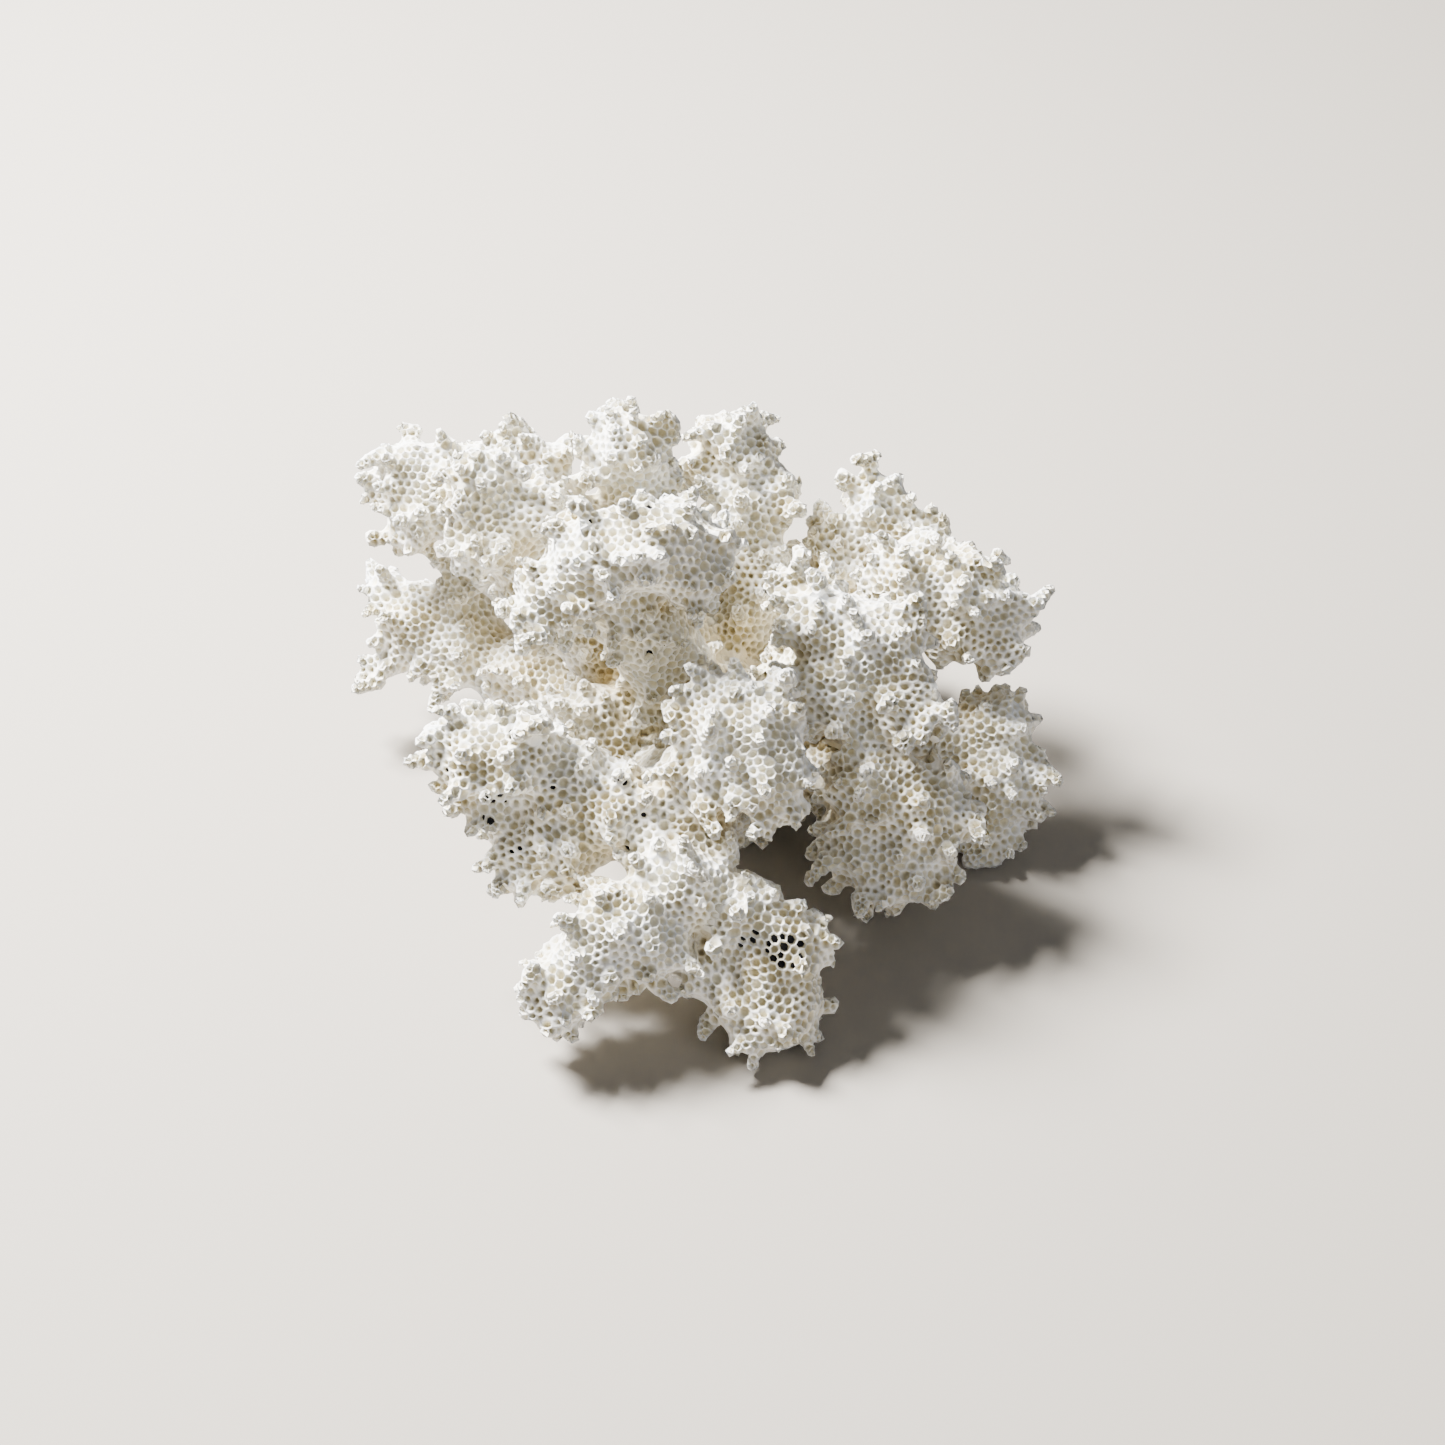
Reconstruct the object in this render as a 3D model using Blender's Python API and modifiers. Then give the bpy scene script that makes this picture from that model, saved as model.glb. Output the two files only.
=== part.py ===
"""A dead white branching coral, about 83 mm across, standing on the flat cut of its stump.

Metres, +Z up. The origin is the centre of the flat cut. The colony is split at its main forks: the stump, the
thick front limb, and the branches, each a closed solid that keeps a small gap to what it grows from.
"""

import math
import random
from collections import namedtuple

import bmesh
import bpy
from mathutils import Matrix, Vector

MM = 0.001

# The branches are measured in a tilted frame, as they show to someone who looks down at the colony from the front:
# across to the right, rise up the view, near towards the viewer. All three are in millimetres from DATUM.
VIEW_DOWN = math.radians(42)
ACROSS = Vector((1, 0, 0))
RISE = Vector((0, math.sin(VIEW_DOWN), math.cos(VIEW_DOWN)))
NEAR = Vector((0, -math.cos(VIEW_DOWN), math.sin(VIEW_DOWN)))
DATUM = Vector((3, -6, 18))

# Sizes of the growth, in millimetres
FORK_GAP = 0.7
BODY_VOXEL = 0.5
CUTTER_VOXEL = 0.8
LUMP_SIZE = 4.2
LUMP_HEIGHT = 1.2
TOOTH_SPACING = 3.3
TOOTH_LENGTH = (0.8, 2.0)
TOOTH_BASE = (1.3, 1.6)
TOOTH_TIP = (0.85, 1.1)
TOOTH_SUNK = 1.3
TOOTH_CLEARANCE = 2.8
SEED = 11

# A lobe is an ellipsoid: its centre, its half sizes across, along the rise and along near, and its roll in degrees
Lobe = namedtuple("Lobe", "across rise near wide tall thick roll", defaults=(0,))
# A stem is a tapered rod between two points, with the radius at each
Stem = namedtuple("Stem", "start end start_radius end_radius")
# triangles is about how many the finished solid keeps; teeth says how many of the possible teeth grow
Branch = namedtuple("Branch", "stems lobes triangles teeth", defaults=(1.0,))

STUMP_CENTRE = Vector((0, 0, 8))
STUMP_HALF = Vector((13, 12, 13))

BRANCHES = {
    "stump": Branch([], [], 300, 0.0),
    "front_limb": Branch(
        [Stem((-3, -4, -8), (-5, -10, 9), 8.0, 6.2)],
        [Lobe(-5.5, -11.5, 12, 7.6, 6.0, 5.0), Lobe(-4.5, -17.6, 15.5, 6.4, 5.0, 4.5)],
        340,
        0.35,
    ),
    "crown_branch": Branch(
        [Stem((-3, 0, -5), (-10.5, 14.5, 12), 6.2, 4.8)],
        [
            Lobe(-17.5, 13.8, 14, 4.8, 4.2, 4.2, 35),
            Lobe(-13.0, 17.4, 17, 5.5, 5.1, 4.8, 20),
            Lobe(-7.5, 18.8, 18, 6.0, 5.4, 5.0),
            Lobe(-2.9, 17.0, 16, 4.2, 5.2, 4.2, -25),
        ],
        720,
    ),
    "centre_branch": Branch(
        [Stem((-4, -10, 9), (0, -3, 14), 5.5, 5.4)],
        [
            Lobe(-0.6, 0.8, 16, 5.0, 4.6, 4.2),
            Lobe(3.8, -0.6, 17, 5.0, 5.2, 4.2),
            Lobe(4.8, -5.6, 17, 4.7, 4.8, 4.2),
            Lobe(-1.0, -5.4, 15, 5.2, 4.6, 4.2),
        ],
        580,
    ),
    "right_branch": Branch(
        [Stem((1, -3, -8), (11, 5, 2), 6.0, 5.5)],
        [
            Lobe(8.8, 14.0, 6, 3.6, 3.2, 3.6),
            Lobe(11.2, 10.2, 8, 4.8, 4.6, 4.6),
            Lobe(16.6, 7.4, 8, 5.8, 6.0, 5.0),
            Lobe(19.4, 2.8, 8, 4.8, 4.4, 4.2),
            Lobe(12.0, 3.6, 8, 5.0, 5.0, 4.4),
            Lobe(16.5, -0.2, 7, 4.2, 3.6, 3.8),
        ],
        660,
    ),
    "left_front_branch": Branch(
        [Stem((-5, -11, 11), (-12, -9.5, 12), 5.5, 5.5)],
        [
            Lobe(-17.0, -6.6, 13, 5.6, 5.2, 4.3),
            Lobe(-22.0, -3.2, 15, 5.2, 4.4, 3.8, -15),
            Lobe(-26.8, -3.8, 15, 4.0, 4.6, 3.4),
            Lobe(-24.6, -7.8, 13, 3.4, 2.9, 3.0),
            Lobe(-17.4, -13.0, 12, 5.4, 5.0, 4.2),
            Lobe(-21.8, -13.8, 12, 3.4, 3.7, 3.3),
            Lobe(-20.8, -16.8, 12, 2.6, 2.3, 2.6, 30),
        ],
        700,
    ),
    "front_left_branch": Branch(
        [Stem((-5, -18, 15), (-11, -22, 17), 4.5, 4.4)],
        [
            Lobe(-11.5, -22.2, 17.5, 5.4, 4.8, 4.1, 35),
            Lobe(-14.2, -25.6, 17.5, 4.3, 4.3, 3.9, 35),
            Lobe(-17.2, -28.8, 17.2, 4.4, 3.9, 3.8, 20),
            Lobe(-6.6, -23.4, 16.5, 3.6, 3.8, 3.5),
        ],
        500,
    ),
    "front_right_branch": Branch(
        [Stem((-3, -17.6, 14), (2.4, -20.8, 15), 4.2, 4.2)],
        [
            Lobe(2.3, -20.6, 15, 4.8, 4.6, 3.8),
            Lobe(5.6, -24.4, 15, 5.4, 5.6, 3.8),
            Lobe(5.0, -30.2, 14.5, 6.0, 5.4, 3.8),
            Lobe(-1.6, -26.6, 14, 2.8, 3.6, 3.0),
        ],
        560,
    ),
    "right_front_branch": Branch(
        [Stem((1, -5, -8), (13, -5, 1), 5.5, 4.8)],
        [
            Lobe(16.2, -6.6, 7, 5.4, 5.4, 4.2),
            Lobe(21.6, -9.0, 6, 5.6, 5.6, 4.2),
            Lobe(19.4, -14.6, 4, 6.6, 5.8, 4.2),
            Lobe(14.6, -12.4, 4, 4.0, 5.4, 3.8),
        ],
        620,
    ),
    "left_upper_branch": Branch(
        [Stem((-6, 0, -8), (-22, 18, 0), 5.5, 4.5)],
        [
            Lobe(-26.0, 26.0, 5, 4.1, 4.3, 4.1),
            Lobe(-26.0, 20.8, 4, 4.9, 5.0, 4.5),
            Lobe(-21.0, 22.8, 4, 4.1, 4.2, 3.9),
        ],
        480,
    ),
    "back_left_branch": Branch(
        [Stem((-4, 3, -10), (-10, 22, -3), 5.5, 4.8)],
        [Lobe(-10.4, 30.0, 0, 4.9, 5.0, 4.6), Lobe(-10.0, 24.5, -2, 4.6, 5.0, 4.5)],
        380,
    ),
    "back_middle_branch": Branch(
        [Stem((-2, 3, -12), (4, 18, -9), 5.0, 4.4)],
        [
            Lobe(1.8, 31.2, -9, 4.4, 4.2, 4.2),
            Lobe(-1.8, 29.2, -9, 2.9, 2.7, 3.0),
            Lobe(2.8, 24.0, -9, 4.4, 5.8, 4.2),
            Lobe(5.8, 26.6, -9, 3.1, 3.5, 3.4),
        ],
        440,
    ),
    "right_upper_branch": Branch(
        [Stem((2, -1, -10), (19, 12, -5), 5.5, 4.5)],
        [
            Lobe(20.6, 16.2, -3, 4.4, 4.2, 4.2),
            Lobe(26.6, 15.4, -3, 4.9, 4.8, 4.3),
            Lobe(30.6, 11.0, -4, 4.0, 5.4, 4.0),
            Lobe(25.8, 10.6, -4, 4.4, 4.2, 4.0),
        ],
        520,
    ),
    "back_right_branch": Branch(
        [Stem((0, 2, -14), (14, 17, -13), 5.2, 4.3)],
        [
            Lobe(18.0, 24.2, -13, 4.0, 5.0, 4.2),
            Lobe(21.8, 20.4, -13, 4.2, 4.6, 4.0),
            Lobe(13.4, 20.2, -13, 3.2, 3.6, 3.4),
        ],
        420,
    ),
    "left_back_branch": Branch(
        [Stem((-5, 2, -14), (-29, 24, -13), 5.5, 4.6)],
        [
            Lobe(-36.6, 28.6, -13, 3.9, 4.8, 4.0),
            Lobe(-33.4, 28.0, -13, 4.6, 5.0, 4.2),
            Lobe(-35.8, 23.6, -13, 3.4, 4.4, 3.8),
            Lobe(-25.2, 31.0, -13, 4.4, 3.4, 3.8),
            Lobe(-20.6, 29.6, -13, 3.6, 3.2, 3.6),
        ],
        560,
    ),
    "left_low_branch": Branch(
        [Stem((-6, -4, -14), (-24, 6, -18), 5.5, 4.8)],
        [
            Lobe(-36.4, 11.8, -20, 4.8, 5.4, 4.3),
            Lobe(-31.0, 9.6, -20, 5.8, 6.2, 4.6),
            Lobe(-25.4, 6.2, -20, 5.0, 4.8, 4.6),
            Lobe(-39.8, 15.2, -20, 2.5, 3.0, 2.6),
            Lobe(-39.2, 7.6, -20, 2.8, 2.5, 2.7),
            Lobe(-31.5, 14.8, -18, 3.4, 3.2, 3.2),
        ],
        560,
    ),
    "right_low_branch": Branch(
        [Stem((2, -4, -12), (25, -2, -9), 5.0, 4.2)],
        [
            Lobe(31.0, -0.8, -8, 4.8, 4.8, 3.8),
            Lobe(31.6, -6.6, -8, 5.4, 5.8, 3.8),
            Lobe(30.4, -12.6, -9, 3.9, 4.2, 3.4),
        ],
        480,
    ),
    "inner_left_branch": Branch(
        [Stem((-5, -4, -8), (-13, 0, -1), 5.0, 4.4)],
        [Lobe(-14.4, 0.8, 1, 4.6, 4.2, 4.2), Lobe(-12.0, -3.6, 1, 4.2, 3.8, 4.0)],
        280,
    ),
    "back_low_left_branch": Branch(
        [Stem((-5, 2, -16), (-15, 15, -25), 5.5, 4.6)],
        [Lobe(-17.0, 17.0, -28, 5.6, 4.8, 4.6), Lobe(-12.0, 19.5, -26, 4.2, 4.2, 4.2)],
        340,
    ),
    "back_low_right_branch": Branch(
        [Stem((0, 1, -16), (10, 13, -25), 5.5, 4.6)],
        [Lobe(11.5, 14.5, -28, 5.6, 4.8, 4.6), Lobe(16.5, 11.0, -26, 4.4, 4.8, 4.0)],
        340,
    ),
}

CORAL_WHITE = (0.86, 0.84, 0.79, 1)
CORAL_ROUGHNESS = 0.92


def at(across, rise, near):
    """A point of the viewer's frame, in the colony's own millimetres."""
    return DATUM + across * ACROSS + rise * RISE + near * NEAR


def lobe_axes(lobe):
    """The lobe's three half axes, as directions."""
    turn = Matrix.Rotation(math.radians(lobe.roll), 3, NEAR)
    return turn @ ACROSS, turn @ RISE, NEAR


def lobe_matrix(lobe, extra=0.0):
    """Turns a unit sphere into the lobe, extra millimetres larger all round."""
    wide, tall, thick = lobe_axes(lobe)
    columns = (
        wide * (lobe.wide + extra),
        tall * (lobe.tall + extra),
        thick * (lobe.thick + extra),
    )
    turned = Matrix(columns).transposed().to_4x4()
    return Matrix.Translation(at(lobe.across, lobe.rise, lobe.near)) @ turned


def in_lobe(point, lobe, extra):
    offset = point - at(lobe.across, lobe.rise, lobe.near)
    halves = (lobe.wide + extra, lobe.tall + extra, lobe.thick + extra)
    return sum((offset.dot(axis) / half) ** 2 for axis, half in zip(lobe_axes(lobe), halves)) < 1


def in_stem(point, stem, extra):
    start, end = at(*stem.start), at(*stem.end)
    along = end - start
    share = min(1.0, max(0.0, (point - start).dot(along) / along.length_squared))
    radius = stem.start_radius + share * (stem.end_radius - stem.start_radius)
    return (point - start - share * along).length < radius + extra


def in_stump(point, extra):
    offset = point - STUMP_CENTRE
    return sum((offset[i] / (STUMP_HALF[i] + extra)) ** 2 for i in range(3)) < 1


def in_branch(point, name, extra):
    if name == "stump":
        return in_stump(point, extra)
    branch = BRANCHES[name]
    return any(in_lobe(point, lobe, extra) for lobe in branch.lobes) or any(
        in_stem(point, stem, extra) for stem in branch.stems
    )


def aimed(start, direction):
    """A frame at start whose Z runs along direction."""
    return Matrix.Translation(start) @ direction.to_track_quat("Z", "Y").to_matrix().to_4x4()


def add_stem(bm, stem, extra=0.0):
    start, end = at(*stem.start), at(*stem.end)
    along = end - start
    bmesh.ops.create_cone(
        bm,
        cap_ends=True,
        segments=20,
        radius1=stem.start_radius + extra,
        radius2=stem.end_radius + extra,
        depth=along.length,
        matrix=aimed((start + end) / 2, along),
    )
    for centre, radius in ((start, stem.start_radius), (end, stem.end_radius)):
        bmesh.ops.create_icosphere(
            bm, subdivisions=3, radius=radius + extra, matrix=Matrix.Translation(centre)
        )


def add_stump(bm, extra=0.0):
    halves = STUMP_HALF + Vector((extra, extra, extra))
    matrix = Matrix.Translation(STUMP_CENTRE) @ Matrix.Diagonal(halves).to_4x4()
    bmesh.ops.create_icosphere(bm, subdivisions=4, radius=1, matrix=matrix)


def add_form(bm, name, extra=0.0):
    """The stems and lobes of one branch, as overlapping closed shapes."""
    if name == "stump":
        add_stump(bm, extra)
    for stem in BRANCHES[name].stems:
        add_stem(bm, stem, extra)
    for lobe in BRANCHES[name].lobes:
        bmesh.ops.create_icosphere(bm, subdivisions=4, radius=1, matrix=lobe_matrix(lobe, extra))


def add_tooth(bm, foot, direction, length, base, end):
    """One of the finger-like knobs that fringe the lobes: a tapered rod with a round end, sunk into the lobe."""
    height = length + TOOTH_SUNK
    middle = foot + direction * (length - TOOTH_SUNK) / 2
    bmesh.ops.create_cone(
        bm,
        cap_ends=True,
        segments=8,
        radius1=base,
        radius2=end,
        depth=height,
        matrix=aimed(middle, direction),
    )
    bmesh.ops.create_icosphere(
        bm, subdivisions=2, radius=end, matrix=Matrix.Translation(foot + direction * length)
    )


def rim_points(lobe, rng):
    """Places round the rim of a lobe, with the direction in which a tooth would grow there."""
    wide, tall, thick = lobe_axes(lobe)
    around = 2 * math.pi * math.sqrt((lobe.wide**2 + lobe.tall**2) / 2)
    count = round(around / TOOTH_SPACING)
    for k in range(2 * count):
        angle = math.pi * (k + rng.uniform(-0.3, 0.3)) / count
        side = (0.45 if k % 2 else -0.3) + rng.uniform(-0.22, 0.22)
        reach = math.sqrt(1 - side * side)
        spot = (
            wide * lobe.wide * reach * math.cos(angle)
            + tall * lobe.tall * reach * math.sin(angle)
            + thick * lobe.thick * side
        )
        outward = (
            wide * math.cos(angle) / lobe.wide
            + tall * math.sin(angle) / lobe.tall
            + thick * side / lobe.thick
        )
        yield at(lobe.across, lobe.rise, lobe.near) + spot, outward.normalized()


def teeth_of(name, grown, rng):
    """The teeth of one branch that stand clear of the ground, of the other branches and of each other."""
    branch = BRANCHES[name]
    if not branch.lobes:
        return []
    root = at(*branch.stems[0].start)
    found = []
    for lobe in branch.lobes:
        for foot, outward in rim_points(lobe, rng):
            length = rng.uniform(*TOOTH_LENGTH)
            base = rng.uniform(*TOOTH_BASE)
            end = rng.uniform(*TOOTH_TIP)
            kept = rng.random() < branch.teeth
            away = (foot - root).normalized()
            wobble = Vector([rng.uniform(-0.25, 0.25) for _ in range(3)])
            direction = (outward + 0.45 * away + wobble).normalized()
            tip = foot + direction * length
            if not kept or outward.dot(away) < -0.15 or tip.z < 0.2:
                continue
            if in_branch(foot + direction * 0.9, name, 0.0):
                continue
            if any(in_branch(tip, other, 1.6) for other in BRANCHES if other != name):
                continue
            if any((tip - other).length < TOOTH_CLEARANCE for other in grown):
                continue
            grown.append(tip)
            found.append((foot, direction, length, base, end))
    return found


def object_from(bm, name, collection):
    """A mesh object in metres from a bmesh in millimetres."""
    bmesh.ops.scale(bm, vec=(MM, MM, MM), verts=bm.verts)
    mesh = bpy.data.meshes.new(name)
    bm.to_mesh(mesh)
    bm.free()
    obj = bpy.data.objects.new(name, mesh)
    collection.objects.link(obj)
    return obj


def settle(obj):
    """Applies the object's modifiers."""
    graph = bpy.context.evaluated_depsgraph_get()
    mesh = bpy.data.meshes.new_from_object(obj.evaluated_get(graph))
    obj.modifiers.clear()
    old = obj.data
    obj.data = mesh
    bpy.data.meshes.remove(old)


def fuse(obj, voxel):
    """Makes one closed skin of overlapping shapes."""
    remesh = obj.modifiers.new("fuse", "REMESH")
    remesh.mode = "VOXEL"
    remesh.voxel_size = voxel * MM
    settle(obj)


def roughen(obj, lumps):
    """Softens the creases between the shapes and raises low lumps."""
    soften = obj.modifiers.new("soften", "SMOOTH")
    soften.factor = 0.5
    soften.iterations = 2
    raise_lumps = obj.modifiers.new("lumps", "DISPLACE")
    raise_lumps.texture = lumps
    raise_lumps.texture_coords = "LOCAL"
    raise_lumps.strength = LUMP_HEIGHT * MM
    raise_lumps.mid_level = 0.55
    settle(obj)


def cut(obj, cutter):
    boolean = obj.modifiers.new("cut", "BOOLEAN")
    boolean.operation = "DIFFERENCE"
    boolean.object = cutter
    settle(obj)


def keep_largest_piece(obj):
    """Drops the crumbs that a cut leaves."""
    bm = bmesh.new()
    bm.from_mesh(obj.data)
    left = set(bm.verts)
    pieces = []
    while left:
        piece = {left.pop()}
        edge_of_search = list(piece)
        while edge_of_search:
            vert = edge_of_search.pop()
            for edge in vert.link_edges:
                other = edge.other_vert(vert)
                if other in left:
                    left.remove(other)
                    piece.add(other)
                    edge_of_search.append(other)
        pieces.append(piece)
    largest = max(pieces, key=len)
    crumbs = [vert for piece in pieces if piece is not largest for vert in piece]
    bmesh.ops.delete(bm, geom=crumbs, context="VERTS")
    bm.to_mesh(obj.data)
    bm.free()


def simplify(obj, triangles):
    """Leaves about this many flat facets."""
    bm = bmesh.new()
    bm.from_mesh(obj.data)
    bmesh.ops.triangulate(bm, faces=bm.faces)
    bm.to_mesh(obj.data)
    bm.free()
    decimate = obj.modifiers.new("facets", "DECIMATE")
    decimate.ratio = min(1.0, triangles / len(obj.data.polygons))
    settle(obj)


def cut_at_ground(obj):
    """Takes off what lies below the surface that the colony stands on, leaving a flat face."""
    if min(vert.co.z for vert in obj.data.vertices) > 0:
        return
    bm = bmesh.new()
    bm.from_mesh(obj.data)
    everything = list(bm.verts) + list(bm.edges) + list(bm.faces)
    bmesh.ops.bisect_plane(
        bm, geom=everything, plane_co=(0, 0, 0), plane_no=(0, 0, 1), clear_inner=True
    )
    open_edges = [edge for edge in bm.edges if edge.is_boundary]
    bmesh.ops.holes_fill(bm, edges=open_edges, sides=0)
    bmesh.ops.triangulate(bm, faces=bm.faces)
    bmesh.ops.recalc_face_normals(bm, faces=bm.faces)
    bm.to_mesh(obj.data)
    bm.free()


def coral_material():
    material = bpy.data.materials.new("coral")
    material.use_nodes = True
    shader = material.node_tree.nodes["Principled BSDF"]
    shader.inputs["Base Color"].default_value = CORAL_WHITE
    shader.inputs["Roughness"].default_value = CORAL_ROUGHNESS
    shader.inputs["Metallic"].default_value = 0.0
    return material


def cutter_for(name, earlier, lumps, cutters):
    """The forms of the branches made before this one, a fork gap larger all round, as one closed solid."""
    bm = bmesh.new()
    for other in earlier:
        add_form(bm, other, FORK_GAP)
    cutter = object_from(bm, name + "_cutter", cutters)
    cutter.hide_render = True
    cutter.display_type = "WIRE"
    fuse(cutter, CUTTER_VOXEL)
    roughen(cutter, lumps)
    return cutter


def main():
    for obj in list(bpy.data.objects):
        bpy.data.objects.remove(obj)
    coral = bpy.data.collections.new("coral_specimen")
    cutters = bpy.data.collections.new("cutters")
    for collection in (coral, cutters):
        bpy.context.scene.collection.children.link(collection)

    lumps = bpy.data.textures.new("lumps", "CLOUDS")
    lumps.noise_scale = LUMP_SIZE * MM
    material = coral_material()
    rng = random.Random(SEED)
    grown = []
    earlier = []
    for name, branch in BRANCHES.items():
        bm = bmesh.new()
        add_form(bm, name)
        for tooth in teeth_of(name, grown, rng):
            add_tooth(bm, *tooth)
        obj = object_from(bm, name, coral)
        fuse(obj, BODY_VOXEL)
        roughen(obj, lumps)
        if earlier:
            cutter = cutter_for(name, earlier, lumps, cutters)
            cut(obj, cutter)
            bpy.data.objects.remove(cutter)
            keep_largest_piece(obj)
        simplify(obj, branch.triangles)
        cut_at_ground(obj)
        obj.data.materials.clear()
        obj.data.materials.append(material)
        earlier.append(name)
        print(name, len(obj.data.polygons), "triangles,", len(grown), "teeth so far")


main()
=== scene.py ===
import math
import random
import bmesh
import bpy
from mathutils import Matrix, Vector


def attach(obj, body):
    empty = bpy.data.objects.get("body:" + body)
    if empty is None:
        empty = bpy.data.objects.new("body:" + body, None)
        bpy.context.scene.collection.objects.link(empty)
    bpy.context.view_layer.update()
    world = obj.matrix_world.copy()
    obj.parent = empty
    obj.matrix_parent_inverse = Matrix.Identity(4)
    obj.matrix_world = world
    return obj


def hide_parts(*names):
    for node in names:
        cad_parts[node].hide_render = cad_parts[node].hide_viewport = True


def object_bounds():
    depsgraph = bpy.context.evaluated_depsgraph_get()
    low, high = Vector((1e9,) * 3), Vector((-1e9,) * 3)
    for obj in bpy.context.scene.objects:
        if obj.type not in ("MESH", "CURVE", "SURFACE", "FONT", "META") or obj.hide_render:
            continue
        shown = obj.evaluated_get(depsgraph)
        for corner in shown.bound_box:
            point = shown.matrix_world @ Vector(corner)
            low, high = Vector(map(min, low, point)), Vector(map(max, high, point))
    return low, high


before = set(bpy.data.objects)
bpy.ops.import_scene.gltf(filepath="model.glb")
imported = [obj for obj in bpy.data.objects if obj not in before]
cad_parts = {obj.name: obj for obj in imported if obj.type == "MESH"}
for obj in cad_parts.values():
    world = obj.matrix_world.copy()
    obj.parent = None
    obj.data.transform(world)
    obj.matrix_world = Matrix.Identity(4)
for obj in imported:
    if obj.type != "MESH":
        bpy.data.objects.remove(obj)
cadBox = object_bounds()
branchNames = sorted(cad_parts)
mm = 0.001

# the camera, where the photograph was taken from
view = {
    "target": (3 * mm, -6 * mm, 18 * mm),
    "distance": 325 * mm,
    "down": 42,
    "lens": 72.25,
}
down = math.radians(view["down"])
toward = Vector((0, -math.cos(down), math.sin(down)))


def onlySelect(piece):
    bpy.ops.object.select_all(action="DESELECT")
    piece.select_set(True)
    bpy.context.view_layer.objects.active = piece


def applyModifiers(piece):
    onlySelect(piece)
    for modifier in list(piece.modifiers):
        bpy.ops.object.modifier_apply(modifier=modifier.name)


class Tree:
    # short hand for filling a node tree: add() makes a node, sets its options and its inputs
    def __init__(self, nodeTree):
        self.nodeTree = nodeTree

    def add(self, kind, options=None, **inputs):
        node = self.nodeTree.nodes.new(kind)
        for name, value in (options or {}).items():
            setattr(node, name, value)
        for name, value in inputs.items():
            socket = node.inputs[int(name[2:])] if name.startswith("in") and name[2:].isdigit() \
                else node.inputs[name.replace("_", " ")]
            if isinstance(value, bpy.types.NodeSocket):
                self.nodeTree.links.new(value, socket)
            else:
                socket.default_value = value
        return node

    def math(self, operation, first, second=0.0):
        node = self.add("ShaderNodeMath", {"operation": operation}, in0=first, in1=second)
        return node.outputs[0]

    def vector(self, operation, first, second=(0, 0, 0)):
        node = self.add("ShaderNodeVectorMath", {"operation": operation}, in0=first, in1=second)
        return node.outputs["Value" if operation == "DOT_PRODUCT" else "Vector"]

    def ramp(self, value, low, high, toLow=0.0, toHigh=1.0, smooth=True):
        shape = {"interpolation_type": "SMOOTHSTEP" if smooth else "LINEAR", "clamp": True}
        node = self.add("ShaderNodeMapRange", shape, Value=value, in1=low, in2=high, in3=toLow, in4=toHigh)
        return node.outputs["Result"]

    def noise(self, place, scale, detail=2.0, roughness=0.5, colour=False):
        node = self.add("ShaderNodeTexNoise", {"noise_dimensions": "3D"}, Vector=place, Scale=scale,
                        Detail=detail, Roughness=roughness)
        return node.outputs["Color"] if colour else node.outputs[0]


def newGeometryTree(name):
    nodeTree = bpy.data.node_groups.new(name, "GeometryNodeTree")
    nodeTree.interface.new_socket("Geometry", in_out="INPUT", socket_type="NodeSocketGeometry")
    nodeTree.interface.new_socket("Geometry", in_out="OUTPUT", socket_type="NodeSocketGeometry")
    return nodeTree, Tree(nodeTree), nodeTree.nodes.new("NodeGroupInput"), nodeTree.nodes.new("NodeGroupOutput")


def runGeometryTree(piece, nodeTree):
    modifier = piece.modifiers.new(nodeTree.name, "NODES")
    modifier.node_group = nodeTree
    applyModifiers(piece)


# the grown form: every branch of the frame, joined at the forks into one skin
growth = {
    "swell": 0.46 * mm,       # how far each branch swells so that the forks close
    "shrink": 0.66 * mm,      # how far the joined skin draws back
    "grain": 0.36 * mm,       # mesh size while it is joined
    "softening": 6,           # rounds of smoothing before the joined skin draws back
    "weld": 0.01 * mm,
    "forkDepth": 0.9,         # how far the middle of a closed fork sinks, as a share of its reach
    "edgeRounds": 60,         # how often the form is blurred to find edges, tips and broad hollows
    "tipRounds": 16,
    "broadRounds": 170,
    "cutHeight": 0.25 * mm,   # what is under this is drawn down to the flat cut
    "cutBlend": 3.0 * mm,
    "lumpSize": 2.6 * mm,
    "lumpHeight": 0.95 * mm,
    "lumpMiddle": 0.55,       # the noise value that neither lifts the skin nor lowers it
}


def copyOf(piece, name):
    onlySelect(piece)
    bpy.ops.object.duplicate(linked=False)
    made = bpy.context.view_layer.objects.active
    made.name = name
    return made


def addRemesh(piece, name):
    remesh = piece.modifiers.new(name, "REMESH")
    remesh.mode = "VOXEL"
    remesh.voxel_size = growth["grain"]


def addSmooth(piece, rounds):
    piece.modifiers.new("soften", "SMOOTH").iterations = rounds


def addDisplace(piece, name, height):
    displace = piece.modifiers.new(name, "DISPLACE")
    displace.mid_level = 0
    displace.strength = height


def copyOfBranch(name, number):
    piece = copyOf(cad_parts[name], "form_" + name)
    bpy.ops.object.mode_set(mode="EDIT")
    bpy.ops.mesh.select_all(action="SELECT")
    bpy.ops.mesh.remove_doubles(threshold=growth["weld"])
    bpy.ops.object.mode_set(mode="OBJECT")
    mark = piece.data.attributes.new("branch", "INT", "FACE")
    mark.data.foreach_set("value", [number] * len(piece.data.polygons))
    return piece


def joinBranches():
    forms = [copyOfBranch(name, number) for number, name in enumerate(branchNames)]
    bpy.ops.object.select_all(action="DESELECT")
    for form in forms:
        form.select_set(True)
    bpy.context.view_layer.objects.active = forms[0]
    bpy.ops.object.join()
    joined = bpy.context.view_layer.objects.active
    joined.name = "forms"
    return joined


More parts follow.
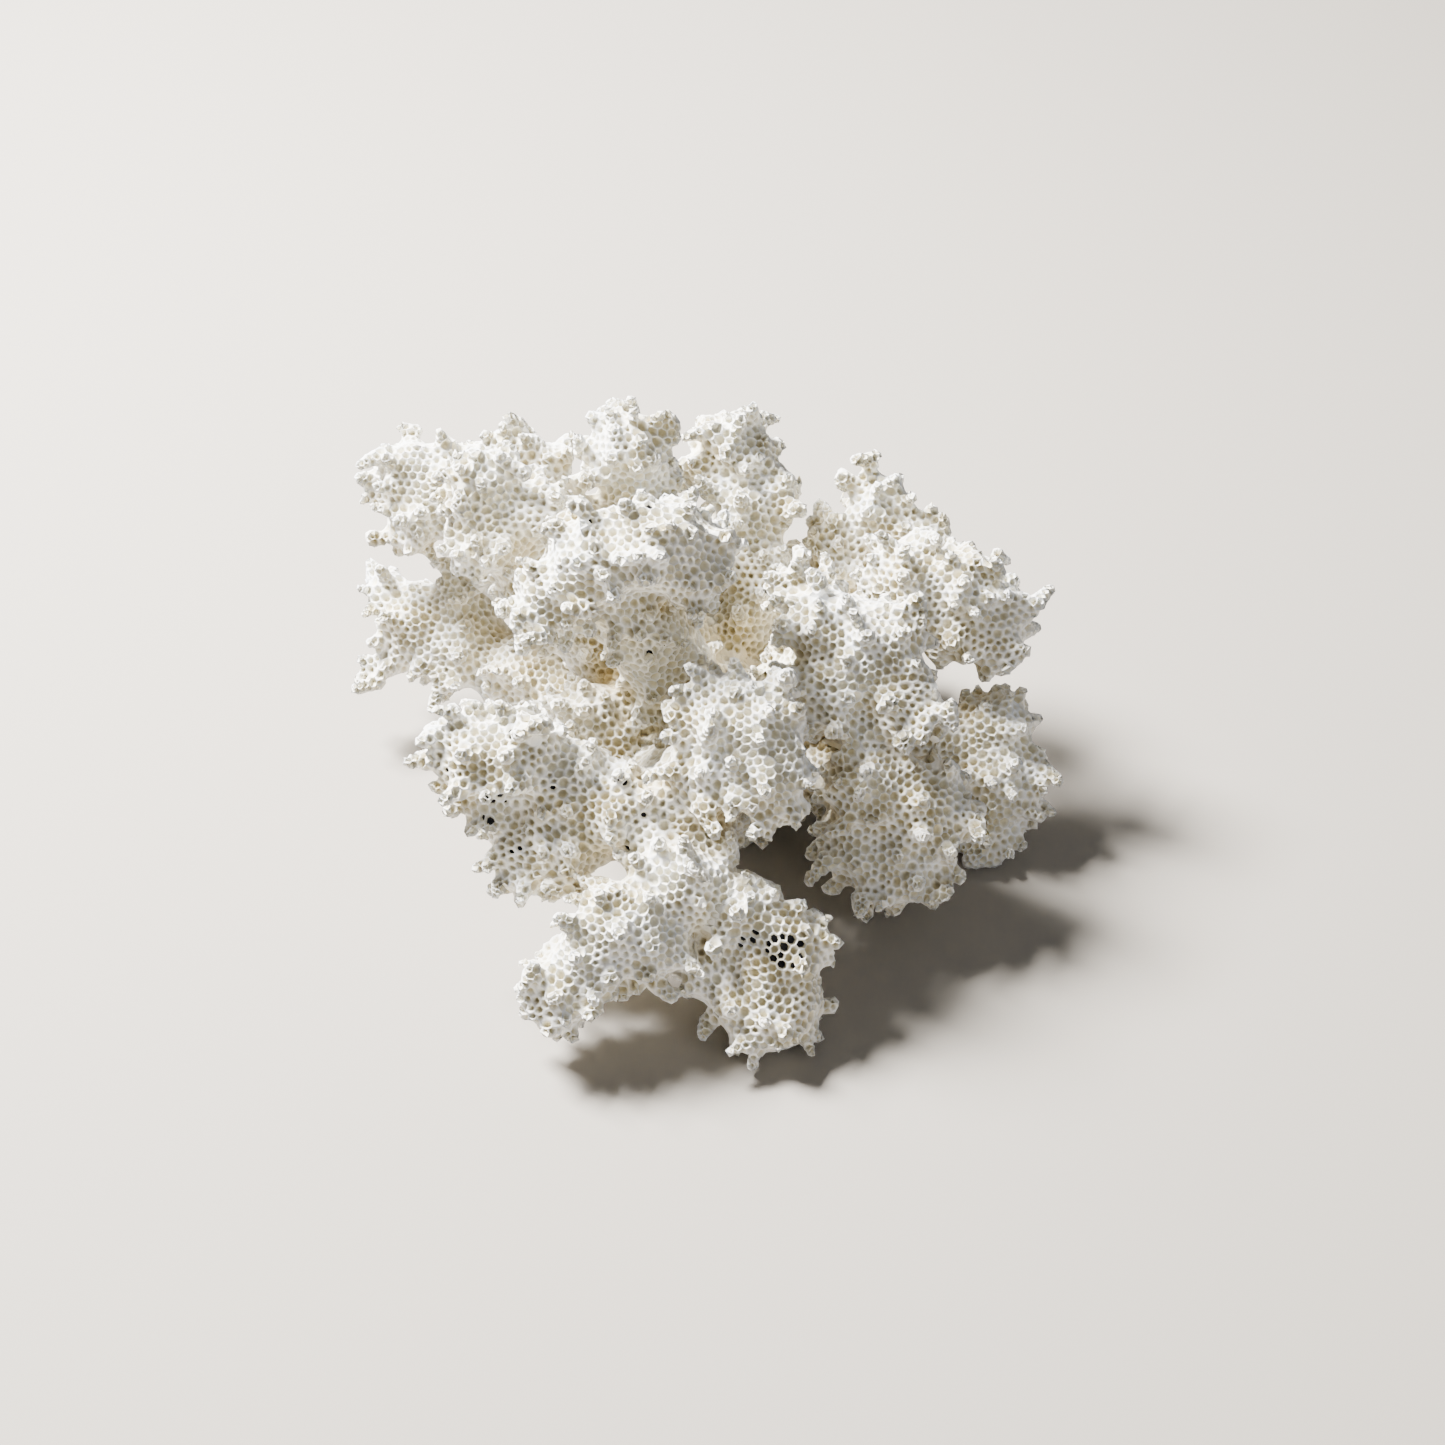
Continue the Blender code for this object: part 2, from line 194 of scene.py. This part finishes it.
def skinOf(forms):
    skin = copyOf(forms, "skin")
    addDisplace(skin, "swell", growth["swell"])
    addRemesh(skin, "join")
    addSmooth(skin, growth["softening"])
    addDisplace(skin, "shrink", -growth["shrink"])
    addRemesh(skin, "clean")
    applyModifiers(skin)
    return skin


def takeTree(name, piece, steps, *others):
    # runs one geometry tree on the piece and keeps what it makes
    nodeTree, t, start, end = newGeometryTree(name)
    nodeTree.links.new(steps(t, start.outputs[0], *others), end.inputs[0])
    runGeometryTree(piece, nodeTree)
    bpy.data.node_groups.remove(nodeTree)
    print("  ", name, len(piece.data.polygons), "faces")


def isAbove(t, value, limit):
    options = {"data_type": "FLOAT", "operation": "GREATER_THAN"}
    return t.add("FunctionNodeCompare", options, in0=value, in1=limit).outputs[0]


def scaled(t, vector, factor):
    return t.add("ShaderNodeVectorMath", {"operation": "SCALE"}, in0=vector, Scale=factor).outputs[0]


def meshOf(t, piece):
    return t.add("GeometryNodeObjectInfo", {"transform_space": "ORIGINAL"}, Object=piece).outputs["Geometry"]


def raiseLumps(t, geometry):
    place = t.add("GeometryNodeInputPosition").outputs[0]
    normal = t.add("GeometryNodeInputNormal").outputs[0]
    lump = t.noise(place, 1 / growth["lumpSize"], 1.0)
    push = t.math("MULTIPLY", t.math("SUBTRACT", lump, growth["lumpMiddle"]), growth["lumpHeight"])
    return t.add("GeometryNodeSetPosition", Geometry=geometry, Offset=scaled(t, normal, push)).outputs[0]


def flattenCut(t, geometry):
    split = t.add("ShaderNodeSeparateXYZ", Vector=t.add("GeometryNodeInputPosition").outputs[0])
    height = split.outputs["Z"]
    drawn = t.ramp(height, growth["cutHeight"], growth["cutBlend"], 0.0, growth["cutBlend"], smooth=False)
    isHigh = isAbove(t, height, growth["cutBlend"])
    chosen = t.add("GeometryNodeSwitch", {"input_type": "FLOAT"}, in0=isHigh, in1=drawn, in2=height).outputs[0]
    placed = t.add("ShaderNodeCombineXYZ", X=split.outputs["X"], Y=split.outputs["Y"], Z=chosen).outputs[0]
    return t.add("GeometryNodeSetPosition", Geometry=geometry, Position=placed).outputs[0]


# the knobs: blunt fingers along the edges of the lobes, and a few on their faces
knobs = {
    "apart": 2.1 * mm,
    "foot": 1.35 * mm,        # radius where a knob leaves the lobe
    "end": 0.62 * mm,         # and at its blunt end
    "rounding": 0.22 * mm,
    "rises": 2.0 * mm,
    "sunk": 1.3 * mm,
    "sides": 7,
    "girth": (0.76, 1.28),
    "size": (0.60, 1.42),
    "middle": (0, 0, 6 * mm),
    "lean": 0.35,             # how much the knobs lean away from the middle
    "tilt": 0.3,
    "onFaces": 0.10,          # the share that grows away from the edges
    "onEdge": (0.05 * mm, 0.45 * mm),
    "inHollow": (-0.5 * mm, -0.1 * mm),
    "margin": 1.2 * mm,       # room that a knob leaves beside the outermost planes
    "marginEdge": (0.2 * mm, 1.0 * mm),
    "densest": 2.0e6,         # in knobs per square metre
    "seed": 21,
}


def makeKnob():
    bpy.ops.object.select_all(action="DESELECT")
    length = knobs["rises"] + knobs["sunk"]
    bpy.ops.mesh.primitive_cone_add(vertices=knobs["sides"], radius1=knobs["foot"], radius2=knobs["end"],
                                    depth=length, location=(0, 0, (knobs["rises"] - knobs["sunk"]) / 2))
    knob = bpy.context.object
    knob.name = "knob"
    bpy.ops.object.transform_apply(location=True, rotation=True, scale=True)
    blunt = knob.modifiers.new("blunt", "BEVEL")
    blunt.width = knobs["rounding"]
    blunt.segments = 2
    applyModifiers(knob)
    return knob


def blurred(t, value, rounds, kind="FLOAT_VECTOR"):
    return t.add("GeometryNodeBlurAttribute", {"data_type": kind}, Value=value, Iterations=rounds).outputs[0]


def standingOut(t, rounds):
    # how far the surface stands out of its own blurred self: above zero on edges and knobs, under it in hollows
    place = t.add("GeometryNodeInputPosition").outputs[0]
    normal = t.add("GeometryNodeInputNormal").outputs[0]
    return t.vector("DOT_PRODUCT", t.vector("SUBTRACT", place, blurred(t, place, rounds)), normal)


def keepMark(t, geometry, name, value, kind="FLOAT", domain="POINT"):
    options = {"data_type": kind, "domain": domain}
    return t.add("GeometryNodeStoreNamedAttribute", options, Geometry=geometry, Name=name,
                 Value=value).outputs[0]


def readMark(t, name, kind="FLOAT"):
    return t.add("GeometryNodeInputNamedAttribute", {"data_type": kind}, Name=name).outputs[0]


def markEdges(t, geometry):
    return keepMark(t, geometry, "edge", standingOut(t, growth["edgeRounds"]))


def growKnobs(t, geometry, knob):
    place = t.add("GeometryNodeInputPosition").outputs[0]
    low = t.vector("SUBTRACT", place, tuple(corner + knobs["margin"] for corner in cadBox[0]))
    high = t.vector("SUBTRACT", tuple(corner - knobs["margin"] for corner in cadBox[1]), place)
    lowest = t.add("ShaderNodeSeparateXYZ", Vector=t.vector("MINIMUM", low, high))
    room = t.math("MINIMUM", t.math("MINIMUM", lowest.outputs["X"], lowest.outputs["Y"]), lowest.outputs["Z"])
    edge = t.ramp(readMark(t, "edge"), *knobs["onEdge"], knobs["onFaces"], 1.0)
    hollow = t.ramp(readMark(t, "edge"), *knobs["inHollow"])
    share = t.math("MULTIPLY", t.math("MULTIPLY", edge, hollow), t.ramp(room, *knobs["marginEdge"]))
    scatter = t.add("GeometryNodeDistributePointsOnFaces", {"distribute_method": "POISSON"}, Mesh=geometry,
                    Distance_Min=knobs["apart"], Density_Max=knobs["densest"], Density_Factor=share,
                    Seed=knobs["seed"])
    outward = t.vector("NORMALIZE", t.vector("SUBTRACT", place, knobs["middle"]))
    tilt = t.add("FunctionNodeRandomValue", {"data_type": "FLOAT_VECTOR"}, in0=(-knobs["tilt"],) * 3,
                 in1=(knobs["tilt"],) * 3, Seed=4).outputs[0]
    aim = t.vector("ADD", t.vector("ADD", scatter.outputs["Normal"], scaled(t, outward, knobs["lean"])), tilt)
    turn = t.add("FunctionNodeAlignRotationToVector", {"axis": "Z"}, Vector=aim).outputs[0]
    size = t.add("FunctionNodeRandomValue", {"data_type": "FLOAT_VECTOR"}, Seed=9,
                 in0=(knobs["girth"][0], knobs["girth"][0], knobs["size"][0]),
                 in1=(knobs["girth"][1], knobs["girth"][1], knobs["size"][1])).outputs[0]
    grown = t.add("GeometryNodeInstanceOnPoints", Points=scatter.outputs["Points"], Instance=meshOf(t, knob),
                  Rotation=turn, Scale=size).outputs[0]
    grown = t.add("GeometryNodeRealizeInstances", Geometry=grown).outputs[0]
    join = t.add("GeometryNodeJoinGeometry")
    t.nodeTree.links.new(grown, join.inputs[0])
    t.nodeTree.links.new(geometry, join.inputs[0])
    return join.outputs[0]


def fuseKnobs(skin):
    addRemesh(skin, "join")
    addSmooth(skin, 1)
    applyModifiers(skin)


def largestPart(skin):
    # the hollows that closing the forks leaves inside are dropped
    onlySelect(skin)
    bpy.ops.object.mode_set(mode="EDIT")
    bpy.ops.mesh.select_all(action="SELECT")
    bpy.ops.mesh.separate(type="LOOSE")
    bpy.ops.object.mode_set(mode="OBJECT")
    parts = sorted(bpy.context.selected_objects, key=lambda part: len(part.data.polygons))
    skin = parts.pop()
    for part in parts:
        bpy.data.objects.remove(part)
    skin.name = "skin"
    return skin


def keepInBox(t, geometry):
    place = t.add("GeometryNodeInputPosition").outputs[0]
    inside = t.vector("MINIMUM", t.vector("MAXIMUM", place, tuple(cadBox[0])), tuple(cadBox[1]))
    return t.add("GeometryNodeSetPosition", Geometry=geometry, Position=inside).outputs[0]


# the pits: one for each polyp, close together over the whole skeleton
pits = {
    "spacing": 0.83 * mm,
    "knobSpacing": 0.64 * mm,
    "onKnob": 0.22 * mm,      # what stands out further than this has the closer spacing
    "densest": 1.8e7,         # in pits per square metre
    "opening": (0.56, 0.88),  # in the thick walled patches and in the thin walled ones
    "patch": 5.0 * mm,
    "slope": 0.19 * mm,       # how far each wall falls from its crest to the pit's mouth
    "depth": (0.36 * mm, 0.72 * mm),
    "shallow": 0.35,          # the share of its depth that a pit keeps on a tip
    "floor": 0.62,
    "blunt": 0.62 * mm,       # what stands out further than this is a smooth tip
    # the pit's colour is partly its own beige tint and partly painted shade that deepens from the crest to the
    # floor
    "mouthShade": 0.45,       # how much of the pit's colour its mouth has
    "wander": 0.13 * mm,
    "wanderSize": 0.7 * mm,
    "cutFacing": -0.93,       # what faces down more than this can be part of the flat cut
    "cutTop": 0.12 * mm,      # the flat cut ends under this height, and nothing under the next one wanders
    "stillTop": 0.5 * mm,
    "seed": 5,
}


def markTips(t, geometry):
    geometry = keepMark(t, geometry, "tip", standingOut(t, growth["tipRounds"]))
    return keepMark(t, geometry, "broad", standingOut(t, growth["broadRounds"]))


# how sheltered each place is: rays go out all round, and those that meet the coral again are counted; the
# material paints shade where it is high
shelter = {
    "rays": 18,
    "reach": 15.0 * mm,
    "lift": 0.3 * mm,         # each ray starts this far over the skin
    "blur": 4,
}


def castRay(t, geometry, direction):
    place = t.add("GeometryNodeInputPosition").outputs[0]
    normal = t.add("GeometryNodeInputNormal").outputs[0]
    start = t.vector("ADD", place, scaled(t, normal, shelter["lift"]))
    facing = t.math("MAXIMUM", t.vector("DOT_PRODUCT", normal, direction), 0.0)
    hit = t.add("GeometryNodeRaycast", Target_Geometry=geometry, Source_Position=start, Ray_Direction=direction,
                Ray_Length=shelter["reach"]).outputs["Is Hit"]
    blocked = t.math("ADD", readMark(t, "blocked"), t.math("MULTIPLY", hit, facing))
    geometry = keepMark(t, geometry, "blocked", blocked)
    return keepMark(t, geometry, "open", t.math("ADD", readMark(t, "open"), facing))


def markShelter(t, geometry):
    share = t.math("DIVIDE", readMark(t, "blocked"), t.math("MAXIMUM", readMark(t, "open"), 0.01))
    return keepMark(t, geometry, "shelter", blurred(t, share, shelter["blur"], "FLOAT"))


def measureShelter(skin):
    turn = math.pi * (3 - math.sqrt(5))
    for ray in range(shelter["rays"]):
        height = 1 - 2 * (ray + 0.5) / shelter["rays"]
        wide = math.sqrt(1 - height * height)
        direction = (wide * math.cos(turn * ray), wide * math.sin(turn * ray), height)
        takeTree("ray", skin, castRay, direction)
    takeTree("shelter", skin, markShelter)


def scatterSeeds(t, geometry):
    onTip = isAbove(t, readMark(t, "tip"), pits["onKnob"])
    elsewhere = t.add("FunctionNodeBooleanMath", {"operation": "NOT"}, in0=onTip).outputs[0]
    join = t.add("GeometryNodeJoinGeometry")
    for chosen, spacing in ((onTip, pits["knobSpacing"]), (elsewhere, pits["spacing"])):
        scatter = t.add("GeometryNodeDistributePointsOnFaces", {"distribute_method": "POISSON"}, Mesh=geometry,
                        Selection=chosen, Distance_Min=spacing, Density_Max=pits["densest"],
                        Seed=pits["seed"])
        points = scatter.outputs["Points"]
        t.nodeTree.links.new(t.add("GeometryNodePointsToVertices", Points=points).outputs[0], join.inputs[0])
    return join.outputs[0]


def gatherToSeeds(t, geometry, seeds):
    points = meshOf(t, seeds)
    place = t.add("GeometryNodeInputPosition").outputs[0]
    nearest = t.add("GeometryNodeSampleNearest", {"domain": "POINT"}, Geometry=points).outputs["Index"]
    centre = t.add("GeometryNodeSampleIndex", {"data_type": "FLOAT_VECTOR", "domain": "POINT"}, Geometry=points,
                   Value=place, Index=nearest).outputs[0]
    return t.add("GeometryNodeSetPosition", Geometry=geometry, Position=centre).outputs[0]


def layOnSkin(t, geometry, skin, rounds=0):
    place = t.add("GeometryNodeInputPosition").outputs[0]
    wanted = blurred(t, place, rounds) if rounds else place
    onSkin = t.add("GeometryNodeProximity", {"target_element": "FACES"}, in0=meshOf(t, skin),
                   Sample_Position=wanted)
    return t.add("GeometryNodeSetPosition", Geometry=geometry, Position=onSkin.outputs["Position"]).outputs[0]


def turnToCells(t, geometry):
    return t.add("GeometryNodeDualMesh", Mesh=geometry).outputs[0]


def markCells(t, cells, forms, skin):
    # which branch each cell belongs to, and how far it stands out of the form round it
    def nearest(piece, name, kind):
        return t.add("GeometryNodeSampleNearestSurface", {"data_type": kind}, Mesh=meshOf(t, piece),
                     Value=readMark(t, name, kind)).outputs[0]

    cells = keepMark(t, cells, "branch", nearest(forms, "branch", "INT"), "INT", "FACE")
    for name in ("tip", "broad", "shelter"):
        cells = keepMark(t, cells, name, nearest(skin, name, "FLOAT"))
    return cells


def makeRims(t, cells):
    # every cell but those of the flat cut gets a rim, and its middle is marked
    height = t.add("ShaderNodeSeparateXYZ", Vector=t.add("GeometryNodeInputPosition").outputs[0]).outputs["Z"]
    facing = t.add("ShaderNodeSeparateXYZ", Vector=t.add("GeometryNodeInputNormal").outputs[0]).outputs["Z"]
    grows = t.add("FunctionNodeBooleanMath", {"operation": "OR"}, in0=isAbove(t, height, pits["cutTop"]),
                  in1=isAbove(t, facing, pits["cutFacing"])).outputs[0]
    blunt = isAbove(t, readMark(t, "tip"), pits["blunt"])
    grows = t.add("FunctionNodeBooleanMath", {"operation": "NIMPLY"}, in0=grows, in1=blunt).outputs[0]
    rim = t.add("GeometryNodeExtrudeMesh", {"mode": "FACES"}, Mesh=cells, Selection=grows,
                Offset_Scale=-pits["slope"], Individual=True)
    chance = t.add("FunctionNodeRandomValue", {"data_type": "FLOAT"}, in2=-0.22, in3=0.22, Seed=3).outputs[1]
    thin = t.noise(t.add("GeometryNodeInputPosition").outputs[0], 1 / pits["patch"], 1.0)
    opening = t.ramp(t.math("ADD", thin, chance), 0.30, 0.62, pits["opening"][0], pits["opening"][1])
    opened = t.add("GeometryNodeScaleElements", {"domain": "FACE"}, Geometry=rim.outputs["Mesh"],
                   Selection=rim.outputs["Top"], Scale=opening).outputs[0]
    opened = keepMark(t, opened, "pit", t.math("MULTIPLY", rim.outputs["Top"], pits["mouthShade"]))
    return keepMark(t, opened, "mouth", rim.outputs["Top"], "BOOLEAN", "FACE")


def digPits(t, cells):
    mouth = readMark(t, "mouth", "BOOLEAN")
    chance = t.add("FunctionNodeRandomValue", {"data_type": "FLOAT"}, in2=0.0, in3=1.0, Seed=8).outputs[1]
    depth = t.ramp(chance, 0.0, 1.0, pits["depth"][0], pits["depth"][1], smooth=False)
    shallow = t.ramp(readMark(t, "tip"), 0.10 * mm, 0.5 * mm, 1.0, pits["shallow"])
    down = t.math("MULTIPLY", t.math("MULTIPLY", depth, shallow), -1.0)
    wall = t.add("GeometryNodeExtrudeMesh", {"mode": "FACES"}, Mesh=cells, Selection=mouth, Offset_Scale=down,
                 Individual=True)
    floored = t.add("GeometryNodeScaleElements", {"domain": "FACE"}, Geometry=wall.outputs["Mesh"],
                    Selection=wall.outputs["Top"], Scale=pits["floor"]).outputs[0]
    floored = keepMark(t, floored, "floor", wall.outputs["Top"], "BOOLEAN", "FACE")
    return keepMark(t, floored, "pit", t.math("MAXIMUM", readMark(t, "pit"), wall.outputs["Top"]))


def wander(t, cells):
    place = t.add("GeometryNodeInputPosition").outputs[0]
    height = t.add("ShaderNodeSeparateXYZ", Vector=place).outputs["Z"]
    rough = t.noise(place, 1 / pits["wanderSize"], 1.0, colour=True)
    shift = scaled(t, t.vector("SUBTRACT", rough, (0.5, 0.5, 0.5)), pits["wander"] * 2)
    loose = isAbove(t, height, pits["stillTop"])
    moved = t.add("GeometryNodeSetPosition", Geometry=cells, Selection=loose, Offset=shift).outputs[0]
    return t.add("GeometryNodeSetShadeSmooth", Geometry=moved).outputs[0]


def pitSkin(skin, forms):
    knob = makeKnob()
    takeTree("edges", skin, markEdges)
    takeTree("knobs", skin, growKnobs, knob)
    bpy.data.objects.remove(knob)
    fuseKnobs(skin)
    skin = largestPart(skin)
    takeTree("lumps", skin, raiseLumps)
    takeTree("flat cut", skin, flattenCut)
    takeTree("box", skin, keepInBox)
    takeTree("tips", skin, markTips)
    measureShelter(skin)
    # scattered seeds, each of which gathers the skin's vertices round it, leave an even net of triangles
    seeds = copyOf(skin, "seeds")
    takeTree("seeds", seeds, scatterSeeds)
    cells = copyOf(skin, "cells")
    takeTree("gather", cells, gatherToSeeds, seeds)
    bpy.ops.object.mode_set(mode="EDIT")
    bpy.ops.mesh.select_all(action="SELECT")
    bpy.ops.mesh.remove_doubles(threshold=growth["weld"])
    bpy.ops.mesh.quads_convert_to_tris()
    bpy.ops.object.mode_set(mode="OBJECT")
    takeTree("even", cells, layOnSkin, skin, 1)
    takeTree("cells", cells, turnToCells)
    takeTree("lay", cells, layOnSkin, skin)
    takeTree("marks", cells, markCells, forms, skin)
    takeTree("rims", cells, makeRims)
    takeTree("pits", cells, digPits)
    takeTree("wander", cells, wander)
    takeTree("inside", cells, keepInBox)
    for guide in (seeds, skin):
        bpy.data.objects.remove(guide)
    return cells


# dark grains that fill single pits: their place in the picture, reach in pixels and share of the pits there
specks = {
    "spots": [
        (511, 737, 6, 1.0), (490, 800, 6, 1.0), (502, 795, 6, 1.0), (522, 819, 6, 1.0), (559, 819, 6, 1.0),
        (490, 818, 6, 1.0), (517, 852, 6, 1.0), (521, 871, 6, 1.0), (622, 779, 6, 1.0), (646, 812, 6, 1.0),
        (628, 845, 6, 1.0), (555, 789, 6, 1.0), (454, 772, 6, 1.0), (757, 938, 18, 0.5), (783, 951, 19, 0.6),
        (552, 640, 6, 1.0), (655, 657, 6, 1.0), (672, 552, 5, 1.0), (648, 510, 5, 1.0), (586, 520, 5, 1.0),
    ],
    "centre": 722.5,
    "pixels": 2900,           # the lens in pixels of the picture
    "nearest": 8 * mm,        # only what faces the camera on the front branches holds them
    "facing": 0.2,
    "seed": 12,
}


def markSpecks(skin):
    mesh = skin.data
    floors = [False] * len(mesh.polygons)
    mesh.attributes["floor"].data.foreach_get("value", floors)
    rise = Vector((0, toward.z, -toward.y))
    dice = random.Random(specks["seed"])
    dark = [0.0] * len(mesh.vertices)
    for face in (face for face, isFloor in zip(mesh.polygons, floors) if isFloor):
        offset = face.center - Vector(view["target"])
        near = offset.dot(toward)
        if near < specks["nearest"] or face.normal.dot(toward) < specks["facing"]:
            continue
        zoom = specks["pixels"] / (view["distance"] - near)
        left = specks["centre"] + offset.x * zoom
        top = specks["centre"] - offset.dot(rise) * zoom
        for spotLeft, spotTop, reach, share in specks["spots"]:
            if math.hypot(left - spotLeft, top - spotTop) < reach and dice.random() < share:
                for corner in face.vertices:
                    dark[corner] = 1.0
    mark = mesh.attributes.new("speck", "FLOAT", "POINT")
    mark.data.foreach_set("value", dark)


def splitAtForks(skin):
    marks = [0] * len(skin.data.polygons)
    skin.data.attributes["branch"].data.foreach_get("value", marks)
    skin.data.materials.clear()
    for name in branchNames:
        skin.data.materials.append(bpy.data.materials.new("fork_" + name))
    skin.data.polygons.foreach_set("material_index", marks)
    onlySelect(skin)
    bpy.ops.object.mode_set(mode="EDIT")
    bpy.ops.mesh.select_all(action="SELECT")
    bpy.ops.mesh.separate(type="MATERIAL")
    bpy.ops.object.mode_set(mode="OBJECT")
    return list(bpy.context.selected_objects)


def closeFork(piece):
    mesh = bmesh.new()
    mesh.from_mesh(piece.data)
    edges = [edge for edge in mesh.edges if edge.is_boundary]
    facing = {vert: vert.normal.copy() for edge in edges for vert in edge.verts}
    caps = bmesh.ops.holes_fill(mesh, edges=edges, sides=0)["faces"]
    # the faces inside a fork stay flat so that the cells beside them shade well
    for cap in caps:
        cap.smooth = False
    middles = bmesh.ops.poke(mesh, faces=caps, offset=0, center_mode="MEAN")["verts"]
    # their middle sinks into the coral, the more so where the skin around it faces one way
    for middle in middles:
        ring = [edge.other_vert(middle) for edge in middle.link_edges]
        reach = sum((vert.co - middle.co).length for vert in ring) / len(ring)
        outward = sum((facing[vert] for vert in ring), Vector()) / len(ring)
        middle.co -= outward * reach * growth["forkDepth"]
    mesh.to_mesh(piece.data)
    mesh.free()


# the finish: a pair of colours runs from where it is clean to where it is stained; the shaded pairs are painted
# shade for the sheltered hollows
finish = {
    "top": ((0.93, 0.93, 0.92, 1), (0.91, 0.86, 0.70, 1)),
    "topCool": (0.84, 0.88, 0.94, 1),
    # the pits' own beige tint, darkened towards their floors as painted shade
    "pit": ((0.80, 0.76, 0.60, 1), (0.64, 0.56, 0.34, 1)),
    # painted shade: darker, warmer copies of the top and pit colours for sheltered hollows
    "shadedTop": ((0.80, 0.74, 0.57, 1), (0.68, 0.56, 0.32, 1)),
    "shadedPit": ((0.52, 0.46, 0.29, 1), (0.34, 0.26, 0.12, 1)),
    "speck": (0.02, 0.02, 0.025, 1),
    "topStain": 0.45,         # how much of the stain the tops take
    "tipStain": 0.35,         # and how much of that is left on the tips
    "stainSize": 6.7 * mm,
    "coolSize": 2.4 * mm,
    "grainSize": 0.19 * mm,
    "grainHeight": 0.06 * mm,
    "roughness": 0.85,
}


def makeCoralMaterial():
    material = bpy.data.materials.new("coral")
    material.use_nodes = True
    t = Tree(material.node_tree)
    shader = material.node_tree.nodes["Principled BSDF"]
    place = t.add("ShaderNodeTexCoord").outputs["Object"]

    def mark(name):
        return t.add("ShaderNodeAttribute", {"attribute_name": name}).outputs["Fac"]

    def mix(share, first, second):
        return t.add("ShaderNodeMix", {"data_type": "RGBA"}, in0=share, in6=first, in7=second).outputs[2]

    # painted shade: where the skin is hollow and rays meet the coral again, the colour turns to the darker
    # shaded pair
    low = t.ramp(mark("broad"), 0.5 * mm, -1.2 * mm, 0.4, 1.0)
    paintedShade = t.math("MULTIPLY", t.ramp(mark("shelter"), 0.25, 0.85), low)
    tip = t.ramp(mark("tip"), 0.1 * mm, 0.5 * mm, 1.0, finish["tipStain"])
    stain = t.ramp(t.noise(place, 1 / finish["stainSize"], 3.0, 0.6), 0.35, 0.68)
    stain = t.math("MULTIPLY", stain, tip)
    cool = t.ramp(t.noise(place, 1 / finish["coolSize"], 2.0, 0.6), 0.45, 0.75)
    top = mix(t.math("MULTIPLY", stain, finish["topStain"]), mix(cool, finish["top"][0], finish["topCool"]),
              finish["top"][1])
    # the pit mark runs from the crest to the floor: the pits' beige tint, deepened as painted shade towards the
    # floor
    inside = t.ramp(mark("pit"), 0.1, 0.95, smooth=False)
    lit = mix(inside, top, mix(stain, *finish["pit"]))
    shaded = mix(inside, mix(stain, *finish["shadedTop"]), mix(stain, *finish["shadedPit"]))
    colour = mix(t.ramp(mark("speck"), 0.35, 0.75), mix(paintedShade, lit, shaded), finish["speck"])
    material.node_tree.links.new(colour, shader.inputs["Base Color"])
    shader.inputs["Roughness"].default_value = finish["roughness"]
    grain = t.noise(place, 1 / finish["grainSize"], 2.0, 0.6)
    bump = t.add("ShaderNodeBump", Strength=0.5, Distance=finish["grainHeight"], Height=grain)
    material.node_tree.links.new(bump.outputs[0], shader.inputs["Normal"])
    return material


print("stage: joining the branches")
forms = joinBranches()
print("stage: one skin over the forks")
skin = skinOf(forms)
print("skin faces", len(skin.data.polygons))
print("stage: pits")
skin = pitSkin(skin, forms)
print("stage: split at the forks")
markSpecks(skin)
coral = makeCoralMaterial()
pieces = splitAtForks(skin)
bpy.data.objects.remove(forms)
for piece in pieces:
    name = piece.data.materials[0].name[len("fork_"):]
    piece.name = name + "_coral"
    closeFork(piece)
    piece.data.materials.clear()
    piece.data.materials.append(coral)
    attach(piece, "root")
    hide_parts(name)

print("stage: room and light")
bpy.ops.object.camera_add(location=Vector(view["target"]) + toward * view["distance"],
                          rotation=(math.pi / 2 - down, 0, 0))
camera = bpy.context.object
camera.name = "camera"
camera.data.sensor_width = 36
camera.data.lens = view["lens"]
camera.data.clip_start = 0.01
bpy.context.scene.camera = camera

floorLook = bpy.data.materials.new("paleFloor")
floorLook.use_nodes = True
paint = floorLook.node_tree.nodes["Principled BSDF"].inputs
paint["Base Color"].default_value = (0.36, 0.33, 0.29, 1)
paint["Roughness"].default_value = 0.95
bpy.ops.mesh.primitive_plane_add(size=3.0, location=(0, 0, 0))
floor = bpy.context.object
floor.name = "floor"
floor.data.materials.append(floorLook)

lampAim = Vector((0, 0, 20 * mm))
lamps = {
    "key": {"at": (-0.24, 0.14, 0.36), "size": 0.14, "power": 21, "colour": (1.0, 0.985, 0.965)},
    "fill": {"at": (0.30, -0.34, 0.30), "size": 0.40, "power": 0.5, "colour": (0.95, 0.97, 1.0)},
}
for name, lamp in lamps.items():
    bpy.ops.object.light_add(type="AREA", location=lamp["at"])
    light = bpy.context.object
    light.name = name
    light.data.size = lamp["size"]
    light.data.energy = lamp["power"]
    light.data.color = lamp["colour"]
    light.rotation_euler = (Vector(lamp["at"]) - lampAim).to_track_quat("Z", "Y").to_euler()

world = bpy.data.worlds.new("studio")
world.use_nodes = True
sky = world.node_tree.nodes["Background"].inputs
sky["Color"].default_value = (0.92, 0.95, 1.0, 1)
sky["Strength"].default_value = 0.14
bpy.context.scene.world = world

print("stage: finished")
